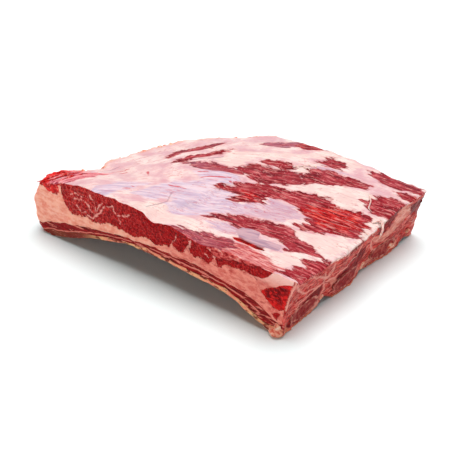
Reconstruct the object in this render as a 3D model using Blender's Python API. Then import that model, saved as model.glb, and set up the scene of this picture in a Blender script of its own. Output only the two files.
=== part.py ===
"""Raw beef short ribs: three rib bones with the meat and fat above them, cut square and laid on a table.

Metres, +Z up. The ribs run along X. The near long side is a knife cut between two ribs, the right end is
sawn across the ribs, and the left end is the slab's rounded natural edge, which runs back at a slant.
"""

import math

import bmesh
import bpy
import numpy as np

# Size of the whole slab
NEAR_LENGTH = 0.297  # top edge of the near side
WIDTH = 0.216  # across the three ribs
SIDE_DROP = 0.0015  # how far the top sinks at its cut edges
AT_SIDE = 0.0001  # share of the width or length within which a point counts as on a side
GAP = 0.0003  # between neighbouring layers
LONG_LUMP = 0.0016  # heights of the long and the short waves in the top
SHORT_LUMP = 0.0009

# Rib bones, flat ovals in section
RIB_PLACES = (0.035, 0.097, 0.160)  # middle of each bone, from the near side
RIB_HALF_WIDTH = 0.020
RIB_HALF_DEPTH = 0.0078
RIB_ABOVE_SKIN = 0.0046
RIB_SIDES = 12

# The layers above and below the bones, away from the cut sides
RIB_LAYER = 0.0218
SAWN_END_RISE = 0.0062  # what the rib layer gains towards the sawn end
SAWN_END_POWER = 6  # how late along the ribs that gain comes
SEAM_LEAST = 0.003
INNER_SKIN = 0.0022
CUT_FADE = 0.009  # how far in from a long side its own layer heights reach
SEAM_FADE = 0.035
FAR_RIB_STRIP = 0.009
ABOVE_ALL = 0.078
BELOW_ALL = -0.010

# Furrows on the underside between the ribs: place from the near side, and depth
FURROWS = ((0.065, 0.008), (0.129, 0.003), (0.196, 0.005))
FURROW_WIDTH = 0.010

# How far to each side of a bone and of a furrow the mesh is cut once more
RIB_ASIDE = 0.011
FURROW_ASIDE = 0.009
SHARP_DEGREES = 40  # edges that bend more than this stay sharp

COLOURS = {
    "upper_lean": (0.33, 0.018, 0.022),
    "seam_fat": (0.80, 0.42, 0.36),
    "rib_meat": (0.30, 0.022, 0.022),
    "inner_fat": (0.82, 0.56, 0.42),
    "rib_bone": (0.62, 0.34, 0.27),
}
WETNESS = 0.35


def through(*knots):
    """A smooth line through (place, value) knots, level beyond the first and the last."""
    places, values = np.array(knots, float).T
    steps = np.diff(values) / np.diff(places)
    slopes = np.zeros(len(places))
    for i, (before, after) in enumerate(zip(steps, steps[1:]), start=1):
        if before * after > 0:
            slopes[i] = 2 * before * after / (before + after)

    def value(place):
        place = min(max(place, places[0]), places[-1])
        i = min(max(int(np.searchsorted(places, place)) - 1, 0), len(steps) - 1)
        span = places[i + 1] - places[i]
        u = (place - places[i]) / span
        return float(
            values[i] * (1 + 2 * u) * (1 - u) ** 2
            + values[i + 1] * u * u * (3 - 2 * u)
            + span * u * (1 - u) * (slopes[i] * (1 - u) - slopes[i + 1] * u)
        )

    return value


def near_line(*knots):
    """A line along the near side, with its places given as distances from the left end."""
    return through(*((distance / NEAR_LENGTH, value) for distance, value in knots))


# Plan, at the top: where the slab begins and ends, by the distance in from the near side
left_edge = through(
    (0, -0.013), (0.010, -0.016), (0.031, -0.012), (0.048, -0.002), (0.077, 0.005), (0.110, 0.017),
    (0.138, 0.033), (0.164, 0.051), (0.190, 0.079), (0.207, 0.096), (0.216, 0.107),
)
right_edge = through(
    (0, 0.284), (0.012, 0.280), (0.060, 0.280), (0.095, 0.283), (0.135, 0.279), (0.165, 0.283),
    (0.216, 0.283),
)

# How far each end moves with the height, as a share of the slab's depth there
LEFT_REACH = 0.12
RIGHT_REACH = 0.15
left_bulge = through(
    (0, 0.013), (0.05, 0.001), (0.14, -0.005), (0.38, -0.008), (0.57, -0.008), (0.78, -0.005), (1, 0),
)
right_undercut = through((0, -0.0115), (0.5, -0.008), (0.85, -0.003), (1, 0))

# Heights of the four sides of the top
near_top = near_line(
    (0, 0.057), (0.033, 0.065), (0.069, 0.071), (0.129, 0.070), (0.143, 0.064), (0.163, 0.067),
    (0.197, 0.062), (0.214, 0.064), (0.297, 0.063),
)
far_top = through((0, 0.0560), (0.3, 0.0595), (0.55, 0.0585), (0.8, 0.0545), (1, 0.053))
left_top = through(
    (0, 0.057), (0.06, 0.058), (0.2, 0.0545), (0.32, 0.055), (0.45, 0.0555), (0.7, 0.0555), (1, 0.0560),
)
right_top = through(
    (0, 0.063), (0.05, 0.056), (0.13, 0.053), (0.37, 0.051), (0.43, 0.053), (0.62, 0.049), (0.76, 0.057),
    (0.93, 0.053), (1, 0.053),
)

# The arch of the ribs under the slab, along its near and far sides
near_arch = near_line(
    (0, -0.001), (0.012, 0), (0.034, 0.006), (0.068, 0.018), (0.095, 0.024), (0.119, 0.0285),
    (0.145, 0.0275), (0.176, 0.026), (0.211, 0.023), (0.231, 0.019), (0.252, 0.010), (0.274, 0.001),
    (0.283, -0.001), (0.297, -0.001),
)
far_arch = through((0, -0.001), (0.06, 0), (0.5, 0.012), (0.92, 0), (1, -0.001))

# Where the upper muscle meets the seam of fat: the fat rises past the top at the left end
near_seam = near_line(
    (0, ABOVE_ALL), (0.024, ABOVE_ALL), (0.032, 0.060), (0.036, 0.043), (0.046, 0.036), (0.089, 0.039),
    (0.115, 0.043), (0.173, 0.044), (0.214, 0.046), (0.227, 0.054), (0.254, 0.052), (0.264, 0.036),
    (0.279, 0.029), (0.297, 0.031),
)
inside_seam = through(
    (0, ABOVE_ALL), (0.08, ABOVE_ALL), (0.14, 0.045), (0.3, 0.042), (0.6, 0.043), (1, 0.037),
)
right_seam = through(
    (0, 0.031), (0.15, 0.034), (0.28, 0.033), (0.47, 0.038), (0.62, 0.043), (0.72, 0.048), (0.85, 0.044),
    (1, 0.036),
)

# On the near side: where the fat meets the meat between the ribs, and that meets the skin of fat inside them
near_rib_top = near_line(
    (0, 0.009), (0.042, 0.023), (0.055, 0.024), (0.095, 0.032), (0.157, 0.037), (0.179, 0.039),
    (0.211, 0.035), (0.249, 0.029), (0.266, 0.022), (0.280, 0.015), (0.297, 0.016),
)
near_inner_top = near_line(
    (0, 0.004), (0.030, 0.010), (0.055, 0.018), (0.095, 0.0262), (0.120, 0.0308), (0.143, 0.0300),
    (0.211, 0.0265), (0.249, 0.017), (0.265, 0.009), (0.280, 0.0095), (0.297, 0.011),
)


def blend(a, b, share):
    return a + (b - a) * share


def spanned(s, t, near, far, left, right):
    """A height that meets the line of each side: s runs from left to right, t from near to far."""
    across = blend(near(s), far(s), t)
    at_left = left(t) - blend(near(0), far(0), t)
    at_right = right(t) - blend(near(1), far(1), t)
    return across + (1 - s) * at_left + s * at_right


def nearness(distance, fade):
    """1 at no distance, falling smoothly to 0 well beyond the fade."""
    return math.exp(-((distance / fade) ** 2))


def arch(s, t):
    return blend(near_arch(s), far_arch(s), t)


def bottom(s, t):
    """The underside: the ribs' arch with a furrow between each two, and small flats where it rests."""
    furrows = sum(depth * nearness(t * WIDTH - place, FURROW_WIDTH) for place, depth in FURROWS)
    return max(arch(s, t) + furrows, 0)


def lumps(s, t):
    """The soft unevenness of the top, none of it at the edges."""
    inside = 16 * s * (1 - s) * t * (1 - t)
    long_wave = math.sin(7 * s + 5 * t) * math.cos(9 * t - 3 * s)
    short_wave = math.sin(19 * s - 8 * t) * math.sin(17 * t + 6 * s)
    return inside * (LONG_LUMP * long_wave + SHORT_LUMP * short_wave)


def top(s, t):
    height = spanned(s, t, near_top, far_top, left_top, right_top) + lumps(s, t)
    return height - (SIDE_DROP if min(s, 1 - s, t, 1 - t) < AT_SIDE else 0)


def rib_top(s, t):
    near_share = nearness(t * WIDTH, CUT_FADE)
    far_share = nearness((1 - t) * WIDTH, CUT_FADE)
    inside = arch(s, t) + RIB_LAYER + SAWN_END_RISE * max(s, 0) ** SAWN_END_POWER
    height = blend(inside, near_rib_top(s), near_share)
    return blend(height, far_arch(s) + FAR_RIB_STRIP, far_share)


def seam(s, t):
    height = blend(inside_seam(s), right_seam(t), nearness((1 - s) * NEAR_LENGTH, SEAM_FADE))
    height = blend(height, near_seam(s), nearness(t * WIDTH, SEAM_FADE))
    return max(height, rib_top(s, t) + SEAM_LEAST)


def inner_top(s, t):
    return blend(bottom(s, t) + INNER_SKIN, near_inner_top(s), nearness(t * WIDTH, CUT_FADE))


def plan(s, t):
    y = t * WIDTH
    return blend(left_edge(y), right_edge(y), s), y


def slab_form(s, t, level):
    """A point of the whole slab, from its shares of the way along, across and up."""
    x, y = plan(s, t)
    x += left_bulge(level) * max(1 - s / LEFT_REACH, 0)
    x += right_undercut(level) * max(1 - (1 - s) / RIGHT_REACH, 0)
    return x, y, blend(bottom(s, t), top(s, t), level)


def layer_form(below, above):
    """The form of a block that fills the room between two of the slab's inner surfaces."""

    def form(s, t, level):
        return *plan(s, t), blend(below(s, t) + GAP / 2, above(s, t) - GAP / 2, level)

    return form


def rib_form(place, spare):
    """The form of a bone, or with spare room round it of the channel that it lies in."""

    def form(s, across, up):
        x, y = plan(s, place / WIDTH)
        middle = arch(s, place / WIDTH) + RIB_ABOVE_SKIN + RIB_HALF_DEPTH
        return x, y + across * (RIB_HALF_WIDTH + spare), middle + up * (RIB_HALF_DEPTH + spare)

    return form


def cut_at(mesh, axis, stations):
    """Cuts the mesh across one axis at each station."""
    normal = [0, 0, 0]
    normal[axis] = 1
    for station in stations:
        bmesh.ops.bisect_plane(
            mesh,
            geom=mesh.verts[:] + mesh.edges[:] + mesh.faces[:],
            dist=1e-6,
            plane_co=[station * n for n in normal],
            plane_no=normal,
        )


def carried(name, mesh, form, collection):
    """An object whose points have been carried from the plain block to the real form."""
    for vertex in mesh.verts:
        vertex.co = form(*vertex.co)
    bmesh.ops.triangulate(mesh, faces=mesh.faces[:])
    bmesh.ops.recalc_face_normals(mesh, faces=mesh.faces[:])
    data = bpy.data.meshes.new(name)
    mesh.to_mesh(data)
    mesh.free()
    piece = bpy.data.objects.new(name, data)
    collection.objects.link(piece)
    return piece


def block(name, form, stations, collection):
    """A box between the outer stations, cut at the inner ones, then carried to its form."""
    mesh = bmesh.new()
    bmesh.ops.create_cube(mesh, size=1)
    for axis, places in enumerate(stations):
        for vertex in mesh.verts:
            vertex.co[axis] = places[0] if vertex.co[axis] < 0 else places[-1]
    for axis, places in enumerate(stations):
        cut_at(mesh, axis, places[1:-1])
    return carried(name, mesh, form, collection)


def bar(name, form, stations, collection):
    """A round bar along X between the outer stations, cut at the inner ones, then carried to its form."""
    mesh = bmesh.new()
    bmesh.ops.create_cone(mesh, cap_ends=True, segments=RIB_SIDES, radius1=1, radius2=1, depth=1)
    for vertex in mesh.verts:
        along, across, up = vertex.co.z, vertex.co.x, vertex.co.y
        vertex.co = (stations[0] if along < 0 else stations[-1], across, up)
    cut_at(mesh, 0, stations[1:-1])
    return carried(name, mesh, form, collection)


def boolean(piece, operation, cutter):
    modifier = piece.modifiers.new(operation.lower() + "_" + cutter.name, "BOOLEAN")
    modifier.operation = operation
    modifier.object = cutter
    modifier.solver = "EXACT"


def material(name, colour):
    made = bpy.data.materials.new(name)
    made.use_nodes = True
    shader = made.node_tree.nodes["Principled BSDF"]
    shader.inputs["Base Color"].default_value = (*colour, 1)
    shader.inputs["Roughness"].default_value = WETNESS
    return made


for left_over in list(bpy.data.objects):
    bpy.data.objects.remove(left_over)
ribs = bpy.data.collections.new("short_ribs")
cutters = bpy.data.collections.new("cutters")
for collection in (ribs, cutters):
    bpy.context.scene.collection.children.link(collection)

# Places where the blocks are cut, as shares: across, one over each bone and furrow and one to each side of it
across_middle = [place + aside for place in RIB_PLACES for aside in (-RIB_ASIDE, 0, RIB_ASIDE)]
across_middle += [place + aside for place, depth in FURROWS for aside in (-FURROW_ASIDE, 0, FURROW_ASIDE)]
across = [0, 0.015, 0.06] + sorted(place / WIDTH for place in across_middle) + [1]
slab_along = [0, 0.012, 0.045, *np.linspace(0.08, 0.92, 23), 0.955, 0.988, 1]
slab_levels = [0, 0.05, 0.14, 0.38, 0.57, 0.78, 1]
room_along = [-0.08, 0.03, 0.08, 0.105, 0.125, 0.155, 0.21, *np.linspace(0.27, 0.65, 6)]
room_along += [0.725, 0.77, 0.81, 0.855, 0.885, 0.925, 1, 1.08]
room_across = [-0.08, *across, 1.08]

slab = block("whole_slab", slab_form, (slab_along, across, slab_levels), cutters)

LAYERS = (
    ("upper_lean", seam, lambda s, t: ABOVE_ALL + 0.010),
    ("seam_fat", rib_top, seam),
    ("rib_meat", inner_top, rib_top),
    ("inner_fat", lambda s, t: BELOW_ALL, inner_top),
)
for name, below, above in LAYERS:
    piece = bpy.data.objects.new(name, slab.data.copy())
    ribs.objects.link(piece)
    room = block(name + "_room", layer_form(below, above), (room_along, room_across, [0, 1]), cutters)
    boolean(piece, "INTERSECT", room)
    piece.data.materials.append(material(name, COLOURS[name]))

bone_colour = material("rib_bone", COLOURS["rib_bone"])
bone_stations = [-0.08, 0.03, 0.105, 0.19, *np.linspace(0.27, 0.65, 6)]
bone_stations += [0.725, 0.77, 0.81, 0.855, 0.885, 0.925, 1.08]
for number, place in enumerate(RIB_PLACES, start=1):
    bone = bar(f"rib_bone_{number}", rib_form(place, 0), bone_stations, ribs)
    boolean(bone, "INTERSECT", slab)
    bone.data.materials.append(bone_colour)
    channel = bar(f"rib_channel_{number}", rib_form(place, GAP), bone_stations, cutters)
    boolean(bpy.data.objects["rib_meat"], "DIFFERENCE", channel)

# The origin is on the table under the middle of the slab's box
corners = np.array([vertex.co for vertex in slab.data.vertices])
middle = (corners.min(axis=0) + corners.max(axis=0)) / 2
origin = bpy.data.objects.new("slab_origin", None)
origin.location = (-middle[0], -middle[1], 0)
ribs.objects.link(origin)
for piece in (*ribs.objects, *cutters.objects):
    if piece is not origin:
        piece.parent = origin
    if piece.type == "MESH":
        piece.data.shade_smooth()
        piece.data.set_sharp_from_angle(angle=math.radians(SHARP_DEGREES))
for cutter in cutters.objects:
    cutter.hide_render = True
    cutter.display_type = "WIRE"
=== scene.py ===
"""A slab of raw beef short ribs: three ribs, the meat and fat over them, and its torn and cut surfaces.

Places on the slab are in millimetres: x along the near cut side, y in from that side, z up from the table.
"""

import itertools
import math

import bpy
import numpy as np
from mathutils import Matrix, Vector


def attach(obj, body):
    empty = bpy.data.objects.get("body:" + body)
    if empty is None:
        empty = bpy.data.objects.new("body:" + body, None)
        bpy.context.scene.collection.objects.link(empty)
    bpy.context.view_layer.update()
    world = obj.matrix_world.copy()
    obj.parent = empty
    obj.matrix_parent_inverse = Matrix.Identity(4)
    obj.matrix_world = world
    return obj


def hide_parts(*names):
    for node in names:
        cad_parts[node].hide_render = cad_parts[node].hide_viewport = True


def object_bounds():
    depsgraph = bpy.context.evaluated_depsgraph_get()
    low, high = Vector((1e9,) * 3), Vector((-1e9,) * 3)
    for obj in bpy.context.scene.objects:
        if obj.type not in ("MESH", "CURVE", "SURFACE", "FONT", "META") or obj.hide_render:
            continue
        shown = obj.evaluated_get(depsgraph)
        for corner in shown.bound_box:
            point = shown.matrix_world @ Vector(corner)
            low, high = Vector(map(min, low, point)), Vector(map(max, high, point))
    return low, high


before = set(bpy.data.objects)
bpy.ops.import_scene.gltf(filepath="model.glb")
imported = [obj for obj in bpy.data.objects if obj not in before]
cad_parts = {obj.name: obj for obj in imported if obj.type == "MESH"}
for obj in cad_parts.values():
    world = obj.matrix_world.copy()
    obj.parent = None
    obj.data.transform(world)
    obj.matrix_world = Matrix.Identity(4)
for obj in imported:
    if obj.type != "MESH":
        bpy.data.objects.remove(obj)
cad_low, cad_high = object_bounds()


# The rib bones
# Three flat oval ribs, sawn through at the right end and trimmed at the left. They lie side by side along
# the slab, low down, in channels in the meat. Their sawn ends show a pale rim round dark red marrow.

NEAR_LENGTH = 297  # the near side at its top edge
WIDTH = 216
RIB_PLACES = (35, 97, 160)
RIB_HALF_WIDTH = 20
RIB_HALF_DEPTH = 7.8
RIB_ABOVE_SKIN = 4.6


def through(*knots):
    """A smooth line through (place, value) knots, level beyond the first and the last."""
    places, values = np.array(knots, float).T
    steps = np.diff(values) / np.diff(places)
    slopes = np.zeros(len(places))
    for i, (before, after) in enumerate(zip(steps, steps[1:]), start=1):
        if before * after > 0:
            slopes[i] = 2 * before * after / (before + after)

    def value(place):
        place = np.clip(place, places[0], places[-1])
        i = np.clip(np.searchsorted(places, place) - 1, 0, len(steps) - 1)
        span = places[i + 1] - places[i]
        u = (place - places[i]) / span
        return (
            values[i] * (1 + 2 * u) * (1 - u) ** 2
            + values[i + 1] * u * u * (3 - 2 * u)
            + span * u * (1 - u) * (slopes[i] * (1 - u) - slopes[i + 1] * u)
        )

    return value


def near_line(*knots):
    """A line along the near side, with its places given as distances from the left end."""
    return through(*((distance / NEAR_LENGTH, value) for distance, value in knots))


# Plan at the top, by the distance in from the near side, and how the ends move with the height
left_edge = through(
    (0, -13), (10, -15.5), (31, -12), (40, -3), (49, 6), (59, 14), (68, 8.5), (77, 10.5),
    (90, 15.5), (110, 22), (138, 34), (164, 51), (190, 79), (207, 96), (216, 107),
)
right_edge = through((0, 284), (12, 280), (60, 280), (95, 283), (135, 279), (165, 283), (216, 283))
LEFT_REACH = 0.12
RIGHT_REACH = 0.15
left_bulge = through((0, 13), (0.05, 1), (0.14, -5), (0.38, -8), (0.57, -8), (0.78, -5), (1, 0))
right_undercut = through((0, -11.5), (0.5, -8), (0.85, -3), (1, 0))

near_top = near_line(
    (0, 57), (33, 65), (69, 71), (129, 70), (143, 64), (163, 67), (197, 62), (214, 64), (297, 63),
)
far_top = through((0, 56), (0.3, 59.5), (0.55, 58.5), (0.8, 54.5), (1, 53))
left_top = through((0, 57), (0.06, 58), (0.2, 54.5), (0.32, 55), (0.45, 55.5), (0.7, 55.5), (1, 56))
right_top = through(
    (0, 63), (0.05, 56), (0.13, 53), (0.37, 51), (0.43, 53), (0.62, 49), (0.76, 57), (0.93, 53), (1, 53),
)
near_arch = near_line(
    (0, -1), (12, 0), (34, 6), (68, 18), (95, 24), (119, 28.5), (145, 27.5), (176, 26), (211, 23),
    (231, 19), (252, 10), (274, 1), (283, -1), (297, -1),
)
far_arch = through((0, -1), (0.06, 0), (0.5, 12), (0.92, 0), (1, -1))
FURROWS = ((65, 8), (129, 3), (196, 5))  # beside the ribs, on the underside: place and depth
FURROW_WIDTH = 10
CORNER_RISE = 12  # of the underside at the near right corner, where a knob of fat stands
CORNER_FADES = (10, 9)  # how far that rise goes along and across


def blend(a, b, share):
    """The value that lies between two others by a share of the way."""
    return a + (b - a) * share


def nearness(distance, fade):
    """1 at no distance, falling smoothly to 0 well beyond the fade."""
    return np.exp(-((distance / fade) ** 2))


def rise(value, low, high):
    """0 up to low, 1 from high on, and smooth between."""
    share = np.clip((value - low) / (high - low), 0, 1)
    return share * share * (3 - 2 * share)


def arch(s, t):
    return blend(near_arch(s), far_arch(s), t)


def bottom(s, t):
    furrows = sum(depth * nearness(t * WIDTH - place, FURROW_WIDTH) for place, depth in FURROWS)
    along, across = CORNER_FADES
    by_corner = nearness((1 - s) * NEAR_LENGTH, along) * nearness(t * WIDTH, across)
    return np.maximum(arch(s, t) + furrows, 0) + CORNER_RISE * by_corner


def top(s, t):
    across = blend(near_top(s), far_top(s), t)
    at_left = left_top(t) - blend(near_top(0), far_top(0), t)
    at_right = right_top(t) - blend(near_top(1), far_top(1), t)
    inside = 16 * s * (1 - s) * t * (1 - t)
    long_wave = np.sin(7 * s + 5 * t) * np.cos(9 * t - 3 * s)
    short_wave = np.sin(19 * s - 8 * t) * np.sin(17 * t + 6 * s)
    return across + (1 - s) * at_left + s * at_right + inside * (1.6 * long_wave + 0.9 * short_wave)


def plan_x(s, t):
    return blend(left_edge(t * WIDTH), right_edge(t * WIDTH), s)


def share_along(x, y):
    """How far along the slab a place is, as a share, read at the top."""
    return (x - left_edge(y)) / (right_edge(y) - left_edge(y))


def lean_out(s, level):
    """How far the two ends stand out or are cut under, at a level that is a share of the depth."""
    at_left = left_bulge(level) * np.maximum(1 - s / LEFT_REACH, 0)
    return at_left + right_undercut(level) * np.maximum(1 - (1 - s) / RIGHT_REACH, 0)


def soft_noise(points, size, seed):
    """Random values from -1 to 1 that change smoothly over about `size` millimetres, the same each run."""
    cells = np.asarray(points, float) / size
    corner = np.floor(cells).astype(np.int64)
    part = cells - corner
    part = part * part * (3 - 2 * part)
    total = np.zeros(len(cells))
    for step in itertools.product((0, 1), repeat=3):
        x, y, z = (corner + step).T
        mixed = (x * 73856093) ^ (y * 19349663) ^ (z * 83492791) ^ (seed * 2654435761)
        mixed = ((mixed ^ (mixed >> 13)) * 1274126177) & 0xFFFFFFFF
        value = ((mixed ^ (mixed >> 16)) & 0xFFFF) / 32767.5 - 1
        total += value * np.prod(np.where(step, part, 1 - part), axis=1)
    return total


def paint(red, green, blue):
    """A colour from its screen values, 0 to 255, as the shader takes it."""
    shares = (np.array((red, green, blue)) / 255 + 0.055) / 1.055
    return (*(shares**2.4), 1)


class Tone:
    """A socket of the material being made. Python's operators on it add the nodes."""

    tree = None

    def __init__(self, socket):
        self.socket = socket

    @classmethod
    def node(cls, kind, settings, values, output=0):
        """A node of that kind, with its settings, then the values or links of its sockets."""
        made = cls.tree.nodes.new("ShaderNode" + kind)
        for name, setting in settings.items():
            setattr(made, name, setting)
        for name, value in values.items():
            if isinstance(value, Tone):
                cls.tree.links.new(value.socket, made.inputs[name])
            else:
                made.inputs[name].default_value = value
        return cls(made.outputs[output])

    @classmethod
    def kept(cls, name, output=2):
        """A value kept in the mesh's points, by its name. Output 1 is a vector and 2 a number."""
        return cls.node("Attribute", {"attribute_name": name}, {}, output)

    @classmethod
    def place(cls):
        """Where the shaded point is, in millimetres."""
        return cls.node("TexCoord", {}, {}, 3).times((1000, 1000, 1000))

    def math(self, operation, other):
        return Tone.node("Math", {"operation": operation}, {0: self, 1: other})

    def __add__(self, other):
        return self.math("ADD", other)

    def __sub__(self, other):
        return self.math("SUBTRACT", other)

    def __mul__(self, other):
        return self.math("MULTIPLY", other)

    __radd__ = __add__
    __rmul__ = __mul__

    def __rsub__(self, other):
        return Tone.node("Math", {"operation": "SUBTRACT"}, {0: other, 1: self})

    def __abs__(self):
        return Tone.node("Math", {"operation": "ABSOLUTE"}, {0: self})

    def most(self, other):
        return self.math("MAXIMUM", other)

    def rise(self, low, high):
        """0 up to low, 1 from high on, and smooth between. With low above high it falls instead."""
        settings = {"interpolation_type": "SMOOTHSTEP"}
        if low < high:
            return Tone.node("MapRange", settings, {0: self, 1: low, 2: high})
        return Tone.node("MapRange", settings, {0: self, 1: high, 2: low, 3: 1, 4: 0})

    def times(self, sizes):
        """This vector, each axis multiplied."""
        return Tone.node("VectorMath", {"operation": "MULTIPLY"}, {0: self, 1: sizes})

    def moved(self, by):
        return Tone.node("VectorMath", {"operation": "ADD"}, {0: self, 1: by})

    def in_marks(self, sizes, seed):
        """This vector counted in marks of the given sizes along its axes, or of one size all round."""
        if not isinstance(sizes, tuple):
            sizes = (sizes, sizes, sizes)
        return self.times(tuple(1 / size for size in sizes)).moved((seed, -seed, 2 * seed))

    def noise(self, sizes, detail=2, roughness=0.5, seed=0):
        """Cloudy values about 0.5, in marks of the given sizes."""
        values = {"Vector": self.in_marks(sizes, seed), "Scale": 1}
        return Tone.node("TexNoise", {}, values | {"Detail": detail, "Roughness": roughness})

    def cells(self, sizes, feature="F1", seed=0):
        """Distances in a pattern of packed cells of the given sizes."""
        values = {"Vector": self.in_marks(sizes, seed), "Scale": 1}
        return Tone.node("TexVoronoi", {"feature": feature}, values)

    def towards(self, share, colour):
        """This colour mixed towards another by a share."""
        return mixed(share, self, colour)


def mixed(share, first, second):
    """A mix of two colours, each a colour in the making or three screen values."""
    first, second = (paint(*colour) if isinstance(colour, tuple) else colour for colour in (first, second))
    settings = {"data_type": "RGBA"}
    return Tone.node("Mix", settings, {0: share, 6: first, 7: second}, 2)


def finish(name, make, below=0.1):
    """A moist material. `make` gives its colour, its roughness and its fine relief in millimetres."""
    made = bpy.data.materials.new(name)
    made.use_nodes = True
    Tone.tree = made.node_tree
    shader = made.node_tree.nodes["Principled BSDF"]
    colour, roughness, relief = make()
    links = made.node_tree.links
    links.new(colour.socket, shader.inputs["Base Color"])
    links.new(roughness.socket, shader.inputs["Roughness"])
    bump = Tone.node("Bump", {}, {"Height": relief, "Distance": 0.001, "Strength": 0.9})
    links.new(bump.socket, shader.inputs["Normal"])
    wet = Tone.place().noise(5, 3, 0.6, seed=11).rise(0.52, 0.62) * 0.06
    links.new(wet.socket, shader.inputs["Coat Weight"])
    shader.inputs["Specular IOR Level"].default_value = 0.05
    shader.inputs["Coat Roughness"].default_value = 0.15
    shader.inputs["Subsurface Weight"].default_value = below
    shader.inputs["Subsurface Radius"].default_value = (1, 0.3, 0.2)
    shader.inputs["Subsurface Scale"].default_value = 0.003
    return made


def slab_mesh(name, points, faces):
    """A mesh in the frame, from places on the slab."""
    to_frame = np.array((cad_high.x - 0.001 * right_edge(0), -0.0005 * WIDTH, 0))
    made = bpy.data.meshes.new(name)
    made.from_pydata((points * 0.001 + to_frame).tolist(), [], faces)
    return made


def placed(name, data):
    """An object of the scene."""
    made = bpy.data.objects.new(name, data)
    bpy.context.scene.collection.objects.link(made)
    return made


def piece(name, points, faces, kept, material, node):
    """A closed mesh that rides on the slab, with the values kept in its points."""
    data = slab_mesh(name, points, faces)
    for label, values in kept.items():
        kind = "FLOAT" if values.ndim == 1 else "FLOAT_VECTOR"
        column = data.attributes.new(label, kind, "POINT").data
        column.foreach_set("value" if kind == "FLOAT" else "vector", values.astype(np.float32).ravel())
    data.materials.append(material)
    data.shade_smooth()
    data.set_sharp_from_angle(angle=math.radians(60))
    made = placed(name, data)
    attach(made, "root")
    if node:
        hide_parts(node)
    return made


def end_places(y, z, end):
    """x of the slab's left end (0) or right end (1) at a place on it."""
    t = y / WIDTH
    level = (z - bottom(end, t)) / (top(end, t) - bottom(end, t))
    return plan_x(end, t) + lean_out(end, level)


# The sawn end in (y, z): dark muscle, fat, and lines of fat between bundles
END_DARK = (
    ((8, 5), (22, 3), (38, 1), (45, 5), (51, 11), (61, 16), (60, 23), (51, 25), (41, 23), (30, 21),
     (19, 17), (9, 10)),
    ((75, 8), (81, 10), (92, 3), (107, 3), (113, 9), (122, 17), (130, 23), (129, 29), (112, 37), (100, 37),
     (91, 28), (83, 25), (79, 18)),
    ((151, 8), (153, 17), (168, 14), (174, 3), (161, 4)),
    ((128, 66), (140, 66), (155, 66), (172, 62), (168, 50), (163, 41), (155, 33), (145, 35), (136, 47)),
    ((185, 60), (194, 60), (214, 56), (220, 22), (200, 31), (189, 40)),
    ((72, 57), (84, 62), (92, 62), (107, 58), (111, 44), (96, 44), (84, 43)),
)
END_FAT = (
    ((154, 30), (165, 38), (170, 50), (173, 62), (193, 62), (193, 45), (198, 34), (191, 31), (178, 26),
     (161, 25), (153, 22), (142, 27), (132, 37)),
    ((168, 14), (173, 15), (183, 9), (183, 2), (175, 4)),
    ((114, 6), (122, 7), (144, 9), (147, 4), (131, 1)),
    ((45, 5), (57, 7), (60, 2), (50, 0)),
    ((67, 25), (78, 23), (83, 15), (76, 14)),
)
END_LINES = (
    ((5, 56), (24, 35), (45, 28), (60, 26), (61, 32), (59, 39)),
    ((16, 5), (23, 25), (47, 24), (60, 27)),
    ((61, 25), (65, 17), (58, 11), (53, 5), (49, 3)),
    ((28, 52), (51, 37), (64, 30), (70, 40), (73, 49), (77, 52)),
    ((66, 25), (78, 23), (81, 29), (91, 28), (104, 33), (113, 43)),
    ((73, 49), (72, 57), (78, 58), (85, 59)),
    ((84, 45), (90, 48), (95, 51), (99, 56)),
    ((138, 37), (136, 30), (142, 20), (151, 9)),
    ((70, 40), (70, 33), (67, 31), (61, 32)),
)


def inside_by(places, outline):
    """How far inside an outline each flat place lies, negative outside."""
    outline = np.array(outline, float)
    distance = np.full(len(places), np.inf)
    within = np.zeros(len(places), bool)
    for start, end in zip(outline, np.roll(outline, -1, axis=0)):
        side, away = end - start, places - start
        along = np.clip(away @ side / (side @ side), 0, 1)
        distance = np.minimum(distance, np.hypot(*(away - along[:, None] * side).T))
        spans = (start[1] > places[:, 1]) != (end[1] > places[:, 1])
        crossing = start[0] + away[:, 1] * side[0] / (side[1] or 1)
        within ^= spans & (places[:, 0] < crossing)
    return np.where(within, distance, -distance)


def from_lines(places, lines):
    """The distance from each flat place to the nearest of the lines."""
    nearest = np.full(len(places), np.inf)
    for start, end in (pair for line in lines for pair in itertools.pairwise(np.array(line, float))):
        side, away = end - start, places - start
        along = np.clip(away @ side / (side @ side), 0, 1)
        nearest = np.minimum(nearest, np.hypot(*(away - along[:, None] * side).T))
    return nearest


def end_values(points, sides):
    """What the finishes need on the sawn end, by the points and their distances in from the four sides."""
    bent = np.stack([soft_noise(points, 6, 17), soft_noise(points, 6, 18)], axis=1)
    places = points[:, 1:] + 1.5 * bent
    return {
        "from_near": sides[0],
        "from_right": sides[1],
        "end_dark": np.max([inside_by(places, outline) for outline in END_DARK], axis=0),
        "end_fat": np.max([inside_by(places, outline) for outline in END_FAT], axis=0),
        "end_line": from_lines(places, END_LINES),
    }


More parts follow.
